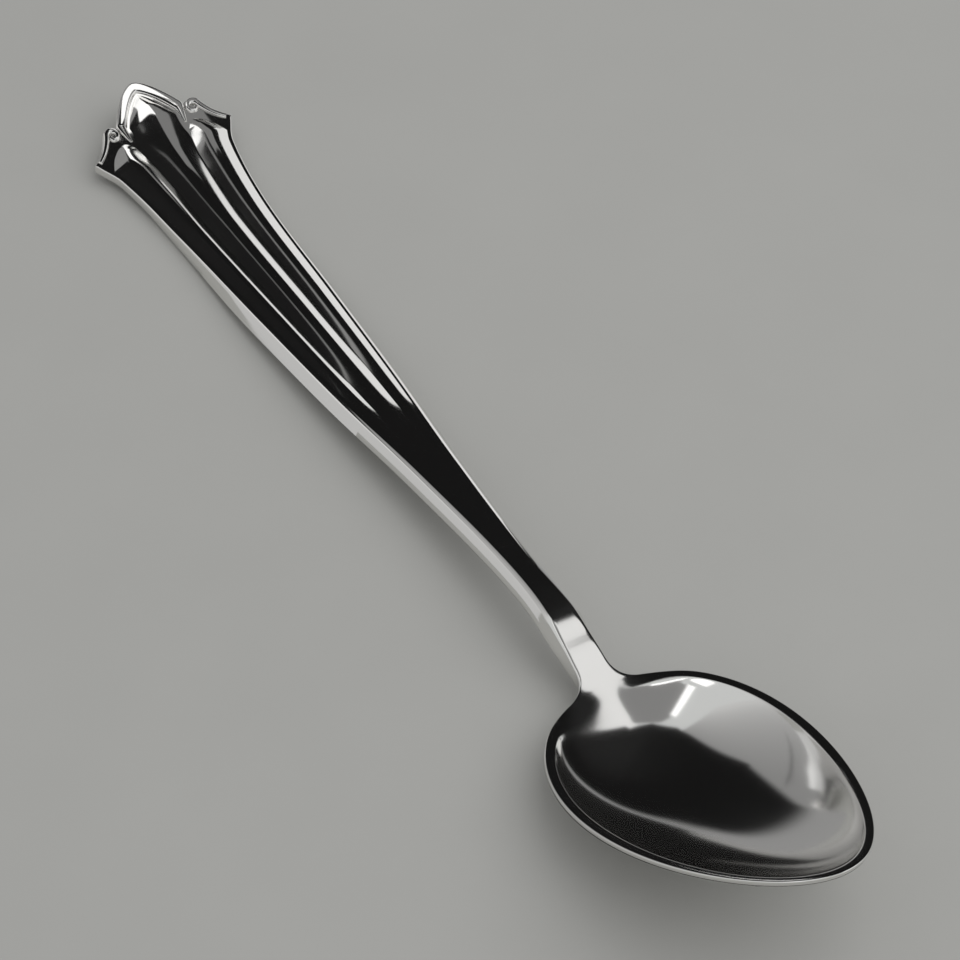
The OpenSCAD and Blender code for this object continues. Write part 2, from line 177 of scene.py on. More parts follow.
class Lines:
    """Heights and widths of the blank, shared by all pieces."""

    corner, ramp, ramp_end, blade = 7.7, 8.0, 13.4, 22.0
    reed_end, neck_start, neck_root, throat = 62.04, 81.78, 97.7, 98.3
    point_z, corner_z = 4.6, 2.25
    width_at = [corner, 11.08, blade, 38.07, 53.58, 67.96, 85.3, throat]
    widths = [17, 14, 11.2, 9.2, 7.2, 4.6, 2.6, 3.6]
    thick_at = [0, corner, blade, 53.58, 85.3, throat]
    thicks = [1.2, 1.2, 1.75, 2.2, 2.7, 2.0]
    rim_softness, heel_softness = 0.07, 1.16
    heel_place, heel_reach, heel_width = 1.13, 2.45, 7.5
    crease, foot = 0.45, 0.06
    belly, belly_inset = 0.9, 0.3
    tongue_start, tongue_half, tongue_reach = 90, 1.9, 8
    tongue_rise = tongue_blend = 0.5
    lean_in, lean_out, lean_end = 26, 7.8, 99.3
    snug = 0.9994

    def __init__(self):
        b = self.bowl = sizes("spoon_bowl")
        self.heel = 2 * HALF_LENGTH - b.length
        self.middle = self.heel + b.length / 2
        self.deep = self.heel + b.deepest * b.length
        self.under_depth = b.depth + b.wall - b.rim_height
        r = np.linspace(0, 1, 400)
        low = min(min(self.rise(self.deep + (x - self.deep) * r) - b.rim_height
                      - self.under_depth * hollow(r)) for x in (self.heel, 2 * HALF_LENGTH))
        self.heel_z = -low - self.foot
        near, far = self.heel + 0.1 * b.length, self.heel + 0.2 * b.length
        self.height_at = [self.ramp, self.ramp_end, self.blade, 38.07, 53.58, 67.96, 85.3, 91.5,
                          95.5, self.heel, near, far]
        self.heights = [self.ramp_z(self.ramp), 1.85, 1.7, 2.8, 3.9, 5.1, 6.4, 6.47, 5.16,
                        self.heel_z - b.dip, self.rim(near), self.rim(far)]
        self.first_slope = (self.heights[1] - self.heights[0]) / (self.ramp_end - self.ramp)
        self.near = near

    def ramp_z(self, x):
        return self.point_z + (self.corner_z - self.point_z) * np.asarray(x, float) / self.corner

    def rise(self, x):
        s = (np.asarray(x, float) - self.heel) / self.bowl.length
        return self.bowl.rise * ((1 - self.bowl.rise_curve) * s + self.bowl.rise_curve * s * s)

    def rim(self, x):
        return self.heel_z + self.rise(x)

    def half(self, x):
        return smooth(np.maximum(x, self.corner), self.width_at, self.widths) / 2

    def top(self, x):
        """Height of the handle's top, running on into the rim of the bowl."""
        x = np.asarray(x, float)
        mid = smooth(np.clip(x, self.ramp, self.near), self.height_at, self.heights)
        mid = mid + self.first_slope * np.minimum(x - self.ramp, 0)
        low = -soft_min(-self.ramp_z(x), -mid, self.crease)
        return np.where(x < self.ramp_end, low, np.where(x >= self.near, self.rim(x), mid))

    def thick(self, x):
        return smooth(np.clip(x, 0, self.throat), self.thick_at, self.thicks)

    def egg(self, a):
        """A point of the bowl's outline, at the angle a from the tip."""
        half = self.snug * self.bowl.width / 2 * np.sin(a) * (1 - self.bowl.egg * np.cos(a))
        return np.stack([self.middle + self.bowl.length / 2 * np.cos(a), half], -1)

    def reach(self, p):
        """Distance of plan points from the deepest place, and of the outline past them."""
        out = self.egg(np.linspace(0, 2 * math.pi, 2001)) - [self.deep, 0]
        turn = np.unwrap(np.arctan2(out[:, 1], out[:, 0]))
        q = p - [self.deep, 0]
        mine = np.arctan2(q[..., 1], q[..., 0]) % (2 * math.pi)
        return np.linalg.norm(q, axis=-1), np.interp(mine, turn, np.linalg.norm(out, axis=1))

    def dished(self, p, soft):
        """Depth of the hollow below the rim's line, with the rim's inner edge rounded by soft."""
        near, full = self.reach(p)
        past = full - near - self.bowl.rim_width
        past = (past + np.sqrt(past**2 + soft**2)) / 2
        return self.bowl.depth * hollow(1 - past / (full - self.bowl.rim_width))

    def sag(self, p):
        """How far the soft heel lies below a crisp rim, where the neck runs into the bowl."""
        at_heel = np.exp(-((p[..., 0] - self.heel - self.heel_place) / self.heel_reach) ** 2
                         - (p[..., 1] / self.heel_width) ** 4)
        soft = self.rim_softness + (self.heel_softness - self.rim_softness) * at_heel
        return self.dished(p, soft) - self.dished(p, self.rim_softness)

    def face(self, p):
        """Height of the upper surface of bowl and neck at plan points."""
        return self.top(p[..., 0]) - self.dished(p, self.rim_softness) - self.sag(p)

    def keel(self, p):
        """Height of the underside of the bar at plan points."""
        x, y = p[..., 0], np.abs(p[..., 1])
        cap = np.where(x < self.tongue_start, np.inf, self.tongue_half)
        half = np.minimum(self.half(np.minimum(x, self.throat)), cap)
        past = np.maximum(x - self.heel, 0)
        low = (self.top(x) - self.thick(x)
               + self.belly * np.maximum(y - half + self.belly_inset, 0) ** 2
               + self.tongue_rise * past**2)
        return np.maximum(low, 0)

    def back(self, p):
        """Height of the underside of bowl and neck at plan points."""
        near, full = self.reach(p)
        shell = (self.top(p[..., 0]) - self.bowl.rim_height - self.under_depth * hollow(near / full)
                 - self.sag(p))
        both = soft_min(shell, self.keel(p), self.tongue_blend)
        return np.maximum(np.where(p[..., 0] < self.heel + self.tongue_reach, both, shell), 0)


def hollow(r):
    return np.maximum(1 - np.minimum(np.asarray(r, float), 1) ** 2, 0) ** 0.78


# Modelling by hand: a primitive, extruded ring by ring

def begin():
    if bpy.context.object and bpy.context.object.mode != "OBJECT":
        bpy.ops.object.mode_set(mode="OBJECT")
    bpy.ops.object.select_all(action="DESELECT")


def placed(points):
    """Millimetres of the spoon to metres of the frame."""
    points = np.asarray(points, float)
    return (points - np.array([HALF_LENGTH, 0, 0])) * MM


def shape_ring(points, row=0):
    """Moves the selected ring to its points, by each vertex's slot, and numbers its row."""
    mesh = bmesh.from_edit_mesh(bpy.context.object.data)
    slot, rows = mesh.verts.layers.int["slot"], mesh.verts.layers.int["row"]
    for v in mesh.verts:
        if v.select:
            v.co = points[v[slot]]
            v[rows] = row
    bmesh.update_edit_mesh(bpy.context.object.data)


def loft(name, rings, start="cap", end="cap"):
    """A circle shaped to the first ring and extruded from ring to ring, closed at both ends."""
    begin()
    rings = [placed(r) for r in rings]
    bpy.ops.mesh.primitive_circle_add(vertices=len(rings[0]), radius=MM, fill_type="NOTHING")
    piece = bpy.context.object
    piece.name = piece.data.name = name
    piece.data.attributes.new("row", "INT", "POINT")
    layer = piece.data.attributes.new("slot", "INT", "POINT")
    layer.data.foreach_set("value", list(range(len(rings[0]))))
    bpy.ops.object.mode_set(mode="EDIT")
    bpy.ops.mesh.select_all(action="SELECT")
    shape_ring(rings[0])
    for row, ring in enumerate(rings[1:], 1):
        bpy.ops.mesh.extrude_region_move()
        shape_ring(ring, row)
    close_ring(end)
    select_border()
    close_ring(start)
    finish_mesh()
    return piece


def select_border():
    """Selects the edges of the open end."""
    bpy.ops.mesh.select_all(action="DESELECT")
    mesh = bmesh.from_edit_mesh(bpy.context.object.data)
    for e in mesh.edges:
        e.select_set(e.is_boundary)
    bmesh.update_edit_mesh(bpy.context.object.data)


def close_ring(kind):
    """Closes the selected open ring with one flat face, or with a fan of triangles round a pole."""
    if kind == "none":
        return
    bpy.ops.mesh.edge_face_add()
    if kind == "pole":
        bpy.ops.mesh.poke()


def finish_mesh():
    """Merges doubles, turns the faces outward and leaves edit mode."""
    bpy.ops.mesh.select_all(action="SELECT")
    bpy.ops.mesh.remove_doubles(threshold=2e-6)
    bpy.ops.mesh.normals_make_consistent(inside=False)
    bpy.ops.mesh.select_all(action="DESELECT")
    bpy.ops.object.mode_set(mode="OBJECT")


def dress(piece, nodes, material, sharp=50):
    """The closing steps that every piece has."""
    begin()
    piece.select_set(True)
    bpy.context.view_layer.objects.active = piece
    bpy.ops.object.shade_smooth_by_angle(angle=math.radians(sharp))
    for layer in ("slot", "row"):
        piece.data.attributes.remove(piece.data.attributes[layer])
    piece.data.materials.clear()
    piece.data.materials.append(material)
    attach(piece, "root")
    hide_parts(*nodes)


# Materials

class Wire:
    """One value in a node tree. Arithmetic on it adds the Math nodes."""

    def __init__(self, tree, socket=None):
        self.tree, self.socket = tree, socket

    def node(self, kind, inputs=None, out=0, **settings):
        """Adds a node with its settings, and gives its inputs values or links."""
        made = self.tree.nodes.new(kind)
        for key, value in settings.items():
            setattr(made, key, value)
        for key, value in (inputs or {}).items():
            if isinstance(value, Wire):
                self.tree.links.new(value.socket, made.inputs[key])
            else:
                made.inputs[key].default_value = value
        return Wire(self.tree, made.outputs[out])

    def math(self, operation, a, b=0.0):
        return self.node("ShaderNodeMath", {0: a, 1: b}, operation=operation)

    def __add__(self, other):
        return self.math("ADD", self, other)

    __radd__ = __add__

    def __sub__(self, other):
        return self.math("SUBTRACT", self, other)

    def __rsub__(self, other):
        return self.math("SUBTRACT", other, self)

    def __mul__(self, other):
        return self.math("MULTIPLY", self, other)

    __rmul__ = __mul__

    def above(self, low, high):
        """0 below low, 1 above high, and a ramp between."""
        return self.node("ShaderNodeMapRange", {0: self, 1: low, 2: high, 3: 0.0, 4: 1.0})

    def mix(self, a, b):
        """A colour between a and b, by this share."""
        made = self.tree.nodes.new("ShaderNodeMix")
        made.data_type = "RGBA"
        self.tree.links.new(self.socket, made.inputs[0])
        made.inputs[6].default_value = (*a, 1)
        made.inputs[7].default_value = (*b, 1)
        return Wire(self.tree, made.outputs[2])


def new_material(name):
    """A material with an empty tree, its wire factory and its shader."""
    material = bpy.data.materials.new(name)
    material.use_nodes = True
    tree = material.node_tree
    tree.nodes.clear()
    shader = tree.nodes.new("ShaderNodeBsdfPrincipled")
    out = tree.nodes.new("ShaderNodeOutputMaterial")
    tree.links.new(shader.outputs[0], out.inputs[0])
    return material, Wire(tree), shader


# Hairlines: turn, scale, stretch along the line, and the noise level from which they show
SCRATCHES = ((0.5, 900.0, 0.05, 0.52), (1.9, 1100.0, 0.06, 0.56), (-0.6, 800.0, 0.05, 0.55))
HAIR_SHARPNESS = 60


def scratch_lines(wire, place, turn, scale, stretch, keep):
    """Thin, long hairlines in one direction: the crests of a stretched noise."""
    turned = wire.node("ShaderNodeMapping", {"Vector": place, "Rotation": (0.0, 0.0, turn),
                                             "Scale": (scale * stretch, scale, scale)})
    noise = wire.node("ShaderNodeTexNoise", {"Vector": turned, "Scale": 1.0, "Detail": 2.0,
                                             "Roughness": 0.55})
    line = 1 - wire.math("ABSOLUTE", noise - 0.5) * HAIR_SHARPNESS
    patch = wire.node("ShaderNodeTexNoise", {"Vector": place, "Scale": scale * 0.12, "Detail": 1.0})
    return wire.math("MAXIMUM", line, 0.0) * patch.above(keep, keep + 0.12)


def silver():
    """Polished plating with hairline scratches, small pits and a breath of tarnish."""
    look = bpy.context.scene.spoon_finish
    material, wire, shader = new_material("silver")
    place = wire.node("ShaderNodeTexCoord", out="Object")
    cloud = wire.node("ShaderNodeTexNoise", {"Vector": place, "Scale": 160.0, "Detail": 4.0,
                                             "Roughness": 0.6})
    fine = wire.node("ShaderNodeTexNoise", {"Vector": place, "Scale": 1400.0, "Detail": 3.0})
    hair = 0.0
    for line in SCRATCHES:
        hair = wire.math("MAXIMUM", hair, scratch_lines(wire, place, *line))
    cells = wire.node("ShaderNodeTexVoronoi", {"Vector": place, "Scale": 260.0}, out="Distance")
    spots = wire.node("ShaderNodeTexNoise", {"Vector": place, "Scale": 90.0, "Detail": 0.0})
    pits = (1 - cells.above(0.03, 0.07)) * spots.above(0.56, 0.6)
    dull = cloud.above(0.5, 0.8)
    base = (dull * 0.35 + pits * 0.5).mix(tuple(look.colour), tuple(look.tarnish))
    wire.tree.links.new(base.socket, shader.inputs["Base Color"])
    rough = dull * 0.05 + fine * 0.02 + hair * (0.7 * look.scratches) + pits * 0.5 + look.roughness
    wire.tree.links.new(rough.socket, shader.inputs["Roughness"])
    dents = cloud * 0.25 - hair * (1.2 * look.scratches) - pits * 2.0
    bump = wire.node("ShaderNodeBump", {"Height": dents, "Strength": 0.12, "Distance": 0.00003})
    wire.tree.links.new(bump.socket, shader.inputs["Normal"])
    shader.inputs["Metallic"].default_value = 1.0
    return material


def floor_paint():
    """Pale matt board, very slightly mottled."""
    look = bpy.context.scene.spoon_studio
    material, wire, shader = new_material("floor_paint")
    place = wire.node("ShaderNodeTexCoord", out="Object")
    cloud = wire.node("ShaderNodeTexNoise", {"Vector": place, "Scale": 60.0, "Detail": 3.0})
    pale = tuple(look.floor)
    base = cloud.mix(tuple(0.97 * c for c in pale), tuple(min(1.03 * c, 1) for c in pale))
    wire.tree.links.new(base.socket, shader.inputs["Base Color"])
    shader.inputs["Roughness"].default_value = 0.9
    shader.inputs["Specular IOR Level"].default_value = 0.0
    return material


def shared(maker):
    """The material that maker makes, made once."""
    return bpy.data.materials.get(maker.__name__) or maker()


# The bar: sections that the stem, the neck and the plate share

WALL_STEPS = 5
STEP = 0.5
SUNK = 0.15


def wall(out, inside, low_out, low_in, top_out, top_in, edge, lean):
    """Points up a wall: round the lower corner, up the side and round the upper corner. A wall
    with some lean is widest below the top, and its underside comes round to there."""
    handle = sizes("spoon_handle")
    steps = np.linspace(0, 1, WALL_STEPS)
    off = (out - inside) / np.linalg.norm(out - inside) * handle.lean * lean
    wide = out + off
    wide_z = (low_out + edge) * (1 - lean) + (top_out - handle.lean_depth) * lean
    upper = out + off * edge / handle.lean_depth
    low = [bent([*inside, low_in], [*wide, low_out + 0.2 * lean], [*wide, wide_z], t)
           for t in steps]
    high = [bent([*upper, top_out - edge], [*out, top_out], [*inside, top_in], t) for t in steps]
    return low + [(low[-1] + high[0]) / 2] + high


def bar_section(s, x, across, edge, low, high):
    """One section of the bar at x: across the top from -Y to +Y, down the side, back and up."""
    half = float(s.half(x))
    right = side_wall([x, half], [x, half - edge], edge, low, high, lean_at(x))
    left = [p * [1, -1, 1] for p in right]
    row = np.column_stack([np.full(len(across), x), (half - edge) * across])
    top = np.column_stack([row, high(row)])
    under = np.column_stack([row, low(row)])
    return ring_of(top, right, under, left)


def side_wall(out, inside, edge, low, high, lean=0.0):
    """The wall at one plan point of an outline, between the heights low and high."""
    pair = np.array([out, inside], float)
    lows, highs = low(pair), high(pair)
    return wall(pair[0], pair[1], lows[0], lows[1], highs[0], highs[1], edge, lean)


def eased(t):
    """A share that starts and ends its way slowly."""
    return float(t**2 * (3 - 2 * t))


def lean_at(x):
    """Share of the lean: none at the moulded end and at the bowl."""
    return eased(min(np.clip((x - Lines.ramp_end) / Lines.lean_in, 0, 1),
                     np.clip((Lines.lean_end - x) / Lines.lean_out, 0, 1)))


def ring_of(top, right, under, left):
    """The closed ring of a section, from its four sides."""
    return np.array([*top, *right[-2:0:-1], *under[::-1], *left[1:-1]])


def spread(a, b, step):
    """Even places from a to b, about step apart."""
    count = max(2, int(round(abs(b - a) / step)) + 1)
    return np.linspace(a, b, count)


# The bowl, which runs on into the neck

AROUND = 168
NECK_SEGMENTS = 7
RIM_EDGE = 0.26
EDGE_RUN = 10
NECK_ROW = 1000


class SPOON_OT_bowl(bpy.types.Operator):
    """Bowl with its flat rim, drawn out into the neck"""
    bl_idname = "spoon.bowl"
    bl_label = "Bowl and neck"

    def execute(self, context):
        s = Lines()
        b = s.bowl
        out = s.egg(-2 * math.pi * np.arange(AROUND) / AROUND)
        arm = [s.deep, 0] - out
        radius = np.linalg.norm(arm, axis=1)[:, None]
        inward = arm / radius

        def ring(d, height):
            plan = out + inward * d
            return np.column_stack([plan, height(plan)])

        shares = np.sin(np.linspace(0.003, 0.93, 30) * math.pi / 2)
        under = [ring(radius * (1 - r), s.back) for r in shares]
        edge_points = [side_wall(at, at + way * RIM_EDGE, RIM_EDGE, s.back, s.face)
                       for at, way in zip(out, inward)]
        rows = [np.array([column[k] for column in edge_points]) for k in range(len(edge_points[0]))]
        flat = [ring(RIM_EDGE + (b.rim_width - RIM_EDGE) * t, s.face)
                for t in (0.3, 0.6, 0.8, 0.92)]
        shares = np.sin(np.linspace(1, 0.003, 44) * math.pi / 2)
        inner = [ring(b.rim_width + (radius - b.rim_width) * (1 - r), s.face) for r in shares]
        piece = loft("bowl_and_neck", under + rows + flat + inner, start="pole", end="pole")
        self.draw_neck(piece, s, rows, len(under))
        dress(piece, ["bowl", "neck"], shared(silver))
        return {"FINISHED"}

    def draw_neck(self, piece, s, rows, first):
        """Opens the rim's wall at the heel and extrudes its border along the neck."""
        heel, last = AROUND // 2, len(rows) - 1
        left, right = heel - NECK_SEGMENTS, heel + NECK_SEGMENTS
        bpy.context.view_layer.objects.active = piece
        bpy.ops.object.mode_set(mode="EDIT")
        bpy.ops.mesh.select_mode(type="FACE")
        bpy.ops.mesh.select_all(action="DESELECT")
        mesh = bmesh.from_edit_mesh(piece.data)
        slot, row = mesh.verts.layers.int["slot"], mesh.verts.layers.int["row"]
        for f in mesh.faces:
            f.select_set(all(left <= v[slot] <= right and first <= v[row] <= first + last
                             for v in f.verts))
        bmesh.update_edit_mesh(piece.data)
        bpy.ops.mesh.delete(type="FACE")
        bpy.ops.mesh.select_mode(type="VERT")
        border = ([(last, j) for j in range(left, right + 1)]
                  + [(k, right) for k in range(last - 1, 0, -1)]
                  + [(0, j) for j in range(right, left - 1, -1)]
                  + [(k, left) for k in range(1, last)])
        spot = {(first + k, j): i for i, (k, j) in enumerate(border)}
        mesh = bmesh.from_edit_mesh(piece.data)
        slot, row = mesh.verts.layers.int["slot"], mesh.verts.layers.int["row"]
        found = [v for v in mesh.verts if v.is_boundary]
        if len(found) != len(border):
            raise RuntimeError("the opening for the neck has the wrong number of corners")
        for v in found:
            v[slot] = spot[v[row], v[slot]]
        bmesh.update_edit_mesh(piece.data)
        select_border()
        bpy.ops.mesh.select_mode(type="EDGE")
        select_border()
        for section in self.neck_sections(s, rows, left, right):
            bpy.ops.mesh.extrude_region_move()
            shape_ring(placed(section), NECK_ROW)
        close_ring("cap")
        finish_mesh()

    def neck_sections(self, s, rows, left, right):
        """Sections from the fillet at the bowl to the stem."""
        root = rows[-1][left:right + 1, :2]
        start = rows[len(rows) // 2][right, :2]
        before = rows[len(rows) // 2][right + 1, :2]
        side = (start - before) / np.linalg.norm(start - before)
        end = np.array([s.neck_root, float(s.half(s.neck_root))])
        turn = start + side * (start[1] - end[1]) / -side[1]
        across = root[:, 1] / root[-1, 1]
        for t in np.linspace(0, 1, 13)[1:]:
            out = bent(start, turn, end, t)
            ahead = 2 * (1 - t) * (turn - start) + 2 * t * (end - turn)
            ahead = ahead / np.linalg.norm(ahead)
            inside = out + np.array([-ahead[1], ahead[0]]) * RIM_EDGE
            bulge = (1 - t) ** 2 * (root[:, 0] - root[-1, 0])
            plan = np.column_stack([inside[0] + bulge, inside[1] * across])
            right_wall = side_wall(out, inside, RIM_EDGE, s.back, s.face, lean_at(out[0]))
            left_wall = [p * [1, -1, 1] for p in right_wall]
            yield ring_of(np.column_stack([plan, s.face(plan)]), right_wall,
                          np.column_stack([plan, s.back(plan)]), left_wall)
        for x in spread(s.neck_root, s.neck_start, STEP)[1:]:
            yield bar_section(s, x, across, edge_at(x), s.back, s.face)


def edge_at(x):
    """The rounding of the bar's edges, which is wider on the handle than at the rim."""
    full = bpy.context.scene.spoon_handle.edge / MM
    share_in = float(np.clip((Lines.neck_root - x) / EDGE_RUN, 0, 1))
    return RIM_EDGE + (full - RIM_EDGE) * eased(share_in)


class SPOON_OT_stem(bpy.types.Operator):
    """Slender bar between the neck and the reeded part"""
    bl_idname = "spoon.stem"
    bl_label = "Stem"

    def execute(self, context):
        s = Lines()
        across = np.linspace(-1, 1, 15)
        rings = [bar_section(s, x, across, edge_at(x), s.keel, flat_top(s))
                 for x in spread(s.neck_start, s.reed_end, STEP)]
        dress(loft("slender_stem", rings), ["stem"], shared(silver))
        return {"FINISHED"}


def flat_top(s):
    return lambda p: s.top(p[..., 0])


# The moulded end: its outline, with an arch between two notches and a bump round each scroll

class EndLines:
    notch = (4.3, 4.2)
    power = 5 / 3
    corner = (7.7, 8.5)
    gap = 0.05
    coil_from, coil_to = 218, 120

    def __init__(self):
        e = self.sizes = sizes("spoon_end")
        self.scroll = np.array([5.25, 5.0])
        self.bump = e.scroll_radius + e.scroll_width / 2 + self.gap
        self.bump_end = polar(self.scroll, self.bump, self.coil_to)

    def arch(self, u):
        return np.array([self.notch[0] * abs(u) ** self.power, self.notch[1] * u])

    def arch_inside(self, u, off):
        slope = self.power * self.notch[0] / self.notch[1] * abs(u) ** (self.power - 1) * np.sign(u)
        return self.arch(u) + off * np.array([1, -slope]) / math.hypot(1, slope)

    def side(self):
        """Outline of the end from the middle line to the corner, at +Y."""
        sweep = [(self.bump_end[0] + self.corner[0]) / 2 + 0.2, self.bump_end[1] + 0.7]
        return np.array([self.arch(u) for u in np.linspace(0, 1, 25)]
                        + [polar(self.scroll, self.bump, a)
                           for a in np.linspace(self.coil_from, self.coil_to, 15)]
                        + [bent(self.bump_end, sweep, self.corner, t)
                           for t in np.linspace(0, 1, 13)[1:]])


def polar(at, r, degrees):
    a = math.radians(degrees)
    return np.array([at[0] + r * math.cos(a), at[1] + r * math.sin(a)])


class SPOON_OT_plate(bpy.types.Operator):
    """Fan-shaped plate that carries the reeds and the moulded end"""
    bl_idname = "spoon.plate"
    bl_label = "Handle plate"

    def execute(self, context):
        s, end = Lines(), EndLines()
        edge = context.scene.spoon_handle.plate_edge / MM
        side = end.side()
        outline = np.vstack([side[:0:-1] * [1, -1], side])
        along = np.gradient(outline, axis=0)
        along /= np.linalg.norm(along, axis=1)[:, None]
        normal = np.column_stack([along[:, 1], -along[:, 0]])
        inside = outline + normal * edge
        across = outline[:, 1] / outline[-1, 1]
        high = flat_top(s)
        rings = []
        for x in spread(s.reed_end, s.ramp, STEP):
            blend_in = np.clip((x - s.ramp) / 8, 0, 1)
            rounding = edge + (edge_at(x) - edge) * blend_in
            rings.append(bar_section(s, x, across, rounding, s.keel, high))
        columns = [side_wall(*pair, edge, s.keel, high) for pair in zip(outline, inside)]
        count = len(columns[0])
        for k in range(count // 2 + 1):
            top = np.array([c[count - 1 - k] for c in columns])
            under = np.array([c[k] for c in columns])
            right = [columns[-1][min(max(m, k), count - 1 - k)] for m in range(count)]
            left = [columns[0][min(max(m, k), count - 1 - k)] for m in range(count)]
            rings.append(ring_of(top, right, under, left))
        piece = loft("fan_plate", rings, end="none")
        dress(piece, ["handle_plate"], shared(silver))
        return {"FINISHED"}


class SPOON_OT_reeds(bpy.types.Operator):
    """Three convex reeds that rise behind the moulded end and die away along the handle"""
    bl_idname = "spoon.reeds"
    bl_label = "Reeds"

    dome_length, slack = 3.6, 0.02
    highest = 1.4
    fade_power, end_sink, sink_power = 5, 0.015, 4
    side_start = (1.25, -0.85)
    outer_run, outer_y = 3, 7.0
    inner_run = 1.1
    steps = 27

    def execute(self, context):
        self.s, self.end = Lines(), EndLines()
        self.h = sizes("spoon_handle")
        self.lobe = self.end.sizes.bead_width + 0.2
        self.lobe_end = self.end.arch_inside(1, self.lobe)
        self.begin_side = self.end.scroll + self.side_start
        self.reed("reed_centre", self.centre_places(), self.end.arch_inside(0, self.lobe)[0])
        for name, side in (("reed_left", -1), ("reed_right", 1)):
            places = [(x, *sorted((side * self.inner(x), side * self.outer(x))))
                      for x in self.side_places()]
            self.reed(name, places, self.begin_side[0])
        return {"FINISHED"}

    def valley(self, x):
        return self.h.valley * self.s.half(x)

    def rise(self, x, start, half):
        """Height of the crest: as steep where the reed narrows, and gone at both ends."""
        t = np.clip((x - self.s.blade) / (self.s.reed_end - self.s.blade), 0, 1)
        grown = np.clip((x - start + self.slack) / self.dome_length, 0, 1)
        dome = math.sqrt(1 - (1 - grown) ** 2)
        steep = min(self.h.steepness * half, self.highest * self.h.reed_height)
        return steep * (1 - t**self.fade_power) * dome - self.end_sink * t**self.sink_power

    def profile(self, across):
        """Height over a reed's width: a round crest between two nearly straight flanks."""
        crest, foot = self.h.crest, math.hypot(1, self.h.crest)
        return (foot - np.sqrt(across**2 + crest**2)) / (foot - crest)

    def reed(self, name, places, start):
        share_across = np.sin(np.linspace(-1, 1, self.steps) * math.pi / 2 * 0.999)
        rings = []
        for x, low, high in places:
            middle, half = (low + high) / 2, (high - low) / 2
            z = float(self.s.top(x)) + self.rise(x, start, half) * self.profile(share_across)
            top = np.column_stack([np.full(self.steps, x), middle + half * share_across, z])
            base = float(self.s.top(x)) - SUNK
            rings.append(np.vstack([top, [[x, high, base], [x, low, base]]]))
        dress(loft(name + "_ridge", rings), [name], shared(silver), sharp=35)

    def centre_places(self):
        found = []
        for u in np.linspace(0.02, 1, 44) ** 1.3:
            p = self.end.arch_inside(u, self.lobe)
            found.append((p[0], -p[1], p[1]))
        for x in np.concatenate([np.linspace(self.lobe_end[0], self.s.ramp, 12)[1:],
                                 spread(self.s.ramp, self.s.reed_end, STEP)[1:]]):
            half = min(self.lobe_end[1], self.valley(x) - self.h.valley_width / 2)
            found.append((x, -half, half))
        return found

    def side_places(self):
        start = self.begin_side[0]
        near = start + (self.s.ramp - start) * np.linspace(0, 1, 26) ** 2
        return np.concatenate([near, spread(self.s.ramp, self.s.reed_end, STEP)[1:]])

    def outer(self, x):
        grown = np.clip((x - self.begin_side[0] + self.slack) / self.outer_run, 0, 1) ** 0.45
        return min(self.begin_side[1] + (self.outer_y - self.begin_side[1]) * grown,
                   float(self.s.half(x)) - self.h.border)

    def inner(self, x):
        near = float(self.valley(x)) + self.h.valley_width / 2
        grown = np.clip((x - self.begin_side[0]) / self.inner_run, 0, 1) ** 0.5
        return self.begin_side[1] + (near - self.begin_side[1]) * grown


def moulding(name, s, path):
    """A half-round moulding on the ramp, along a path of x, y, half width and height."""
    path = np.array(path, float)
    along = np.gradient(path[:, :2], axis=0)
    along /= np.linalg.norm(along, axis=1)[:, None]
    across = np.column_stack([-along[:, 1], along[:, 0]])
    turns = np.linspace(math.pi, 0, 17)
    rings = []
    for p, n in zip(path, across):
        plan = p[:2] + n * (p[2] * np.cos(turns))[:, None]
        z = s.top(plan[:, 0]) + p[3] * np.sin(turns)
        top = np.column_stack([plan, z])
        rings.append(np.vstack([top, top[-1:] - [0, 0, SUNK], top[:1] - [0, 0, SUNK]]))
    return loft(name, rings)


class SPOON_OT_bead(bpy.types.Operator):
    """Bead that follows the arch of the end, with a tail past each notch"""
    bl_idname = "spoon.bead"
    bl_label = "End bead"

    tail_turn, tail_tip = (-0.1, -0.25), (1.35, -0.45)
    taper = 0.7

    def execute(self, context):
        s, end = Lines(), EndLines()
        wide, high = end.sizes.bead_width, end.sizes.bead_height
        off = wide / 2 + end.gap
        a = end.arch_inside(1, off)
        b, c = (end.scroll + [x, -end.bump + y] for x, y in (self.tail_turn, self.tail_tip))
        tail = [(*bent(a, b, c, t), wide / 2 * (1 - self.taper * t), high * (1 - self.taper * t))
                for t in np.linspace(0, 1, 15)[1:]]
        arch = [(*end.arch_inside(u, off), wide / 2, high) for u in np.linspace(-1, 1, 81)]
        path = [(x, -y, w, h) for x, y, w, h in tail[::-1]] + arch + tail
        dress(moulding("arched_bead", s, path), ["end_bead"], shared(silver))
        return {"FINISHED"}


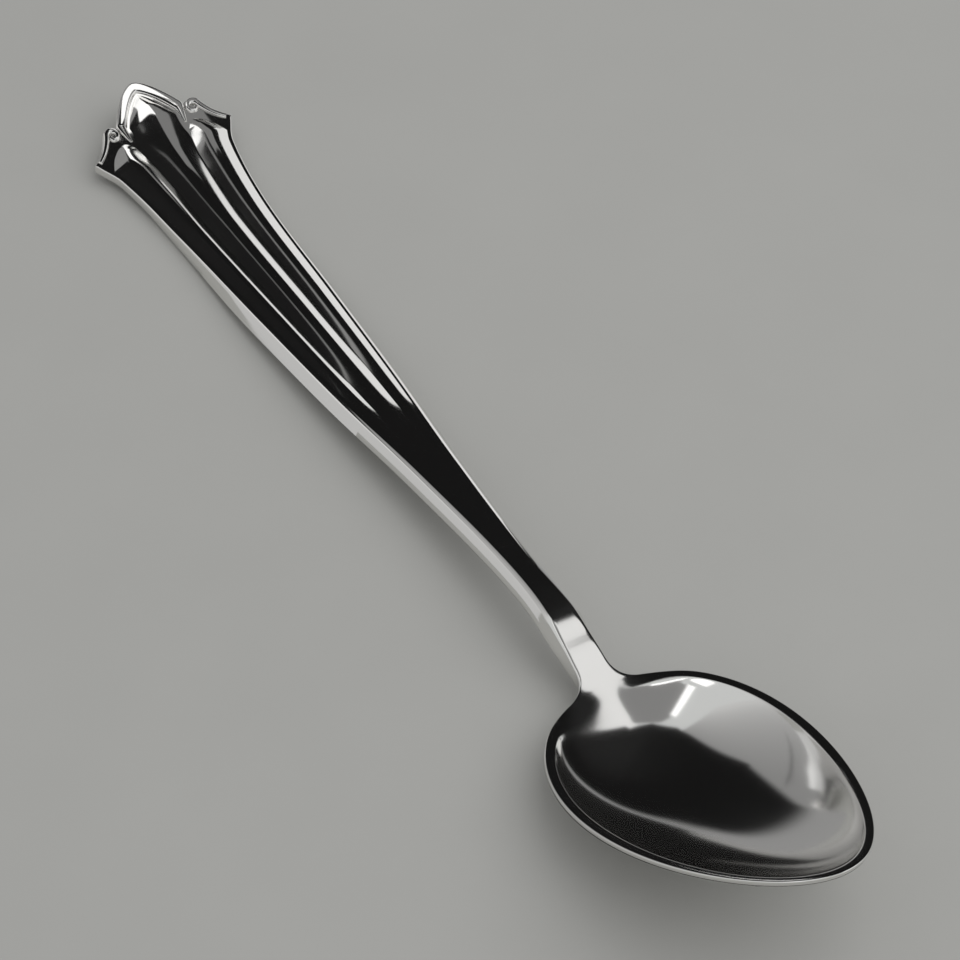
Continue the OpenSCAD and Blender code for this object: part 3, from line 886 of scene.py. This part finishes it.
class SPOON_OT_scrolls(bpy.types.Operator):
    """Scroll in each corner: a border that runs in from the corner and coils"""
    bl_idname = "spoon.scrolls"
    bl_label = "Scrolls"

    thin, taper = 0.6, 0.35
    eye, turn = 0.32, 310

    def execute(self, context):
        s, end = Lines(), EndLines()
        size_r, half = end.sizes.scroll_radius, end.sizes.scroll_width / 2
        high = end.sizes.bead_height
        coil = polar(end.scroll, size_r, end.coil_to)
        start = [end.corner[0] + 0.05, end.corner[1] - 0.62]
        sweep = [(coil[0] + end.corner[0]) / 2 + 0.3, coil[1] + 0.75]
        path = []
        for t in np.linspace(0, 1, 20)[:-1]:
            grown = self.thin + (1 - self.thin) * t
            path.append((*bent(start, sweep, coil, t), half * grown, high * grown))
        for t in np.linspace(0, 1, 70):
            radius, grown = size_r + (self.eye - size_r) * t, 1 - self.taper * t
            path.append((*polar(end.scroll, radius, end.coil_to + self.turn * t),
                         half * grown, high * grown))
        for name, side in (("scroll_left", -1), ("scroll_right", 1)):
            turned = [(x, side * y, w, h) for x, y, w, h in path]
            dress(moulding(name + "_coil", s, turned), [name], shared(silver))
        return {"FINISHED"}


# The studio

def soft_box(name, at, width, height, radiance):
    """A soft area lamp aimed at the spoon."""
    begin()
    bpy.ops.object.light_add(type="AREA")
    lamp = bpy.context.object
    lamp.name = name
    lamp.data.shape = "RECTANGLE"
    lamp.data.size, lamp.data.size_y = width, height
    lamp.data.energy = radiance * math.pi * width * height * bpy.context.scene.spoon_studio.lamps
    lamp.visible_glossy = False
    at = Vector(at)
    turned = at.to_track_quat("Z", "Y").to_matrix().to_4x4()
    lamp.matrix_world = Matrix.Translation(at) @ turned


def glow(name, low, high, way, span):
    """A card's paint: a grey that runs from low to high along a direction."""
    material = bpy.data.materials.new(name)
    material.use_nodes = True
    tree = material.node_tree
    tree.nodes.clear()
    wire = Wire(tree)
    place = wire.node("ShaderNodeTexCoord", out="Object")
    along = wire.node("ShaderNodeVectorMath", {0: place, 1: way}, out="Value",
                      operation="DOT_PRODUCT")
    shade = along.above(span[0] * MM, span[1] * MM) * (high - low) + low
    paint = wire.node("ShaderNodeEmission", {"Color": shade})
    out = tree.nodes.new("ShaderNodeOutputMaterial")
    tree.links.new(paint.socket, out.inputs[0])
    return material


def card(name, corners, low, high=None, way=(1, 0, 0), span=(0, 1)):
    """A card that only the polished metal sees, through its corners in millimetres."""
    begin()
    bpy.ops.mesh.primitive_circle_add(vertices=len(corners), radius=MM, fill_type="NGON")
    board = bpy.context.object
    board.name = name
    board.data.vertices.foreach_set("co", (np.array(corners, float) * MM).ravel())
    board.data.update()
    board.data.materials.append(glow(name, low, low if high is None else high, way, span))
    board.visible_camera = board.visible_diffuse = board.visible_shadow = False


# The surroundings that the polished metal reflects, fitted to the photograph from its camera.
# Each card: name, axis that it stands across, place on that axis, outline in the two other
# axes, grey, and for a grey that changes also the second grey, its direction and its span.
# All in millimetres from the middle of the frame. Tilted cards have no axis, and whole corners.
X, Y, Z = 0, 1, 2
BLACK = 0.008
CARDS = (
    ("dark_end_low", X, -85, [(0, 5), (0, 15), (-12, 37), (-26, 66), (260, 66), (260, 5)],
     0.3, BLACK, (0, 0.9, 0.44), (4.5, 10)),
    ("dark_end_high", X, -85, [(-26, 66), (-31, 91), (-44, 221), (-44, 520), (260, 520), (260, 66)],
     0.3, BLACK, (0, 1, 0.07), (-28, -20)),
    ("dark_side", Y, 160, [(-300, 8), (20, 8), (45, 60), (45, 400), (25, 440), (25, 560),
                           (-300, 560)], BLACK, 0.012, (0, 0, 1), (0, 500)),
    ("dark_top", Z, 559, [(25, 162), (5, 60), (-70, -20), (-110, -60), (-300, -60), (-300, 162)],
     0.01),
    ("ceiling", Z, 560, [(86, 160), (52, 160), (12, 60), (-14, 10), (-14, -60), (5, -79),
                         (245, -530), (330, 100)], 0.24),
    ("window", Z, 558, [(5, -79), (245, -530), (165, -560), (-30, -100)], 1.4),
    ("sky", Z, 570, [(-300, 150), (86, 150), (330, 90), (500, 500), (500, 900), (-300, 900)],
     0.85),
    ("low_window", None, None, [(70, -330, 120), (170, -310, 120), (170, -310, 250),
                                (70, -330, 250)], 1.3),
    ("far_strip", Y, 28, [(-120, 0), (-12, 0), (-12, 24), (-40, 24), (-60, 17), (-80, 11),
                          (-120, 9)], 0.8),
    ("near_strip", Y, -15, [(-90, 0), (12, 0), (12, 6), (-10, 8), (-30, 11), (-90, 11)],
     0.55, 0.85, (0, 0, 1), (5, 9)),
    ("louvre", X, 12, [(5, 0), (150, 0), (150, 18), (5, 18)], 0.3, BLACK, (0, 0, 1), (6.5, 9)),
    ("hood", None, None, [(-28, -8, 18), (-85, -8, 28.3), (-85, -50, 28.3), (-28, -50, 18)],
     0.01),
    ("lobe_grey", Z, 8, [(-71, 3), (-62, 3), (-62, 8.4), (-71, 8.4)], 0.2),
    ("lobe_light", Z, 7.5, [(-73, -2.5), (-66.4, -2.5), (-66.4, 3), (-73, 3)], 1.2),
    ("dim_side", X, -89, [(2, 2), (2, 420), (-260, 330), (-260, 2)],
     0.26, 0.58, (0, -1, 0), (20, 230)),
)


class SPOON_OT_stage(bpy.types.Operator):
    """Pale floor, soft lamps, the cards that the metal reflects, and the camera"""
    bl_idname = "spoon.stage"
    bl_label = "Stage"

    lens = 161.25
    camera_at = (0.25683, -0.15451, 0.32487)
    camera_right = (0.50924, 0.86047, 0.01637)
    camera_down = (0.63341, -0.36185, -0.68401)
    camera_ahead = (-0.58264, 0.35869, -0.72929)

    def execute(self, context):
        begin()
        bpy.ops.mesh.primitive_plane_add(size=6)
        floor = context.object
        floor.name = "floor"
        floor.data.materials.append(shared(floor_paint))
        bpy.ops.object.camera_add()
        camera = context.object
        camera.data.sensor_width = 36
        camera.data.lens = self.lens
        camera.data.clip_start = 0.01
        axes = Matrix((self.camera_right, [-c for c in self.camera_down],
                       [-c for c in self.camera_ahead])).transposed()
        camera.matrix_world = Matrix.Translation(self.camera_at) @ axes.to_4x4()
        context.scene.camera = camera
        self.world(context)
        self.cards()
        soft_box("key", (0.29, 0.34, 0.8), 1.1, 1.1, 0.95)
        context.scene.view_settings.view_transform = "Standard"
        return {"FINISHED"}

    def cards(self):
        for name, axis, at, outline, *shade in CARDS:
            if axis is not None:
                outline = [(*corner[:axis], at, *corner[axis:]) for corner in outline]
            card(name, outline, *shade)

    def world(self, context):
        """Even pale light. The camera and the metal see it brighter than matt paint does."""
        world = bpy.data.worlds.new("studio")
        world.use_nodes = True
        context.scene.world = world
        tree = world.node_tree
        wire = Wire(tree)
        path = wire.node("ShaderNodeLightPath")
        sharp = wire.math("MAXIMUM", path, Wire(tree, path.socket.node.outputs["Is Glossy Ray"]))
        tree.links.new(sharp.mix((0.5, 0.5, 0.5), (0.62, 0.63, 0.63)).socket,
                       tree.nodes["Background"].inputs[0])


class SPOON_PT_panel(bpy.types.Panel):
    """The teaspoon's pieces and sizes"""
    bl_label = "Reeded teaspoon"
    bl_idname = "SPOON_PT_panel"
    bl_space_type = "VIEW_3D"
    bl_region_type = "UI"
    bl_category = "Teaspoon"

    def draw(self, context):
        for operator in PIECES:
            self.layout.operator(operator.bl_idname)
        for name in GROUPS:
            group = getattr(context.scene, name)
            box = self.layout.box()
            for key in group.__annotations__:
                box.prop(group, key)


PIECES = (SPOON_OT_bowl, SPOON_OT_stem, SPOON_OT_plate, SPOON_OT_reeds, SPOON_OT_bead,
          SPOON_OT_scrolls, SPOON_OT_stage)
CLASSES = (*GROUPS.values(), *PIECES, SPOON_PT_panel)


def register():
    for cls in CLASSES:
        bpy.utils.register_class(cls)
    for name, group in GROUPS.items():
        setattr(bpy.types.Scene, name, PointerProperty(type=group))


def unregister():
    for name in GROUPS:
        delattr(bpy.types.Scene, name)
    for cls in reversed(CLASSES):
        bpy.utils.unregister_class(cls)


def main():
    register()
    bpy.ops.spoon.bowl()
    bpy.ops.spoon.stem()
    bpy.ops.spoon.plate()
    bpy.ops.spoon.reeds()
    bpy.ops.spoon.bead()
    bpy.ops.spoon.scrolls()
    bpy.ops.spoon.stage()


if __name__ == "__main__":
    main()
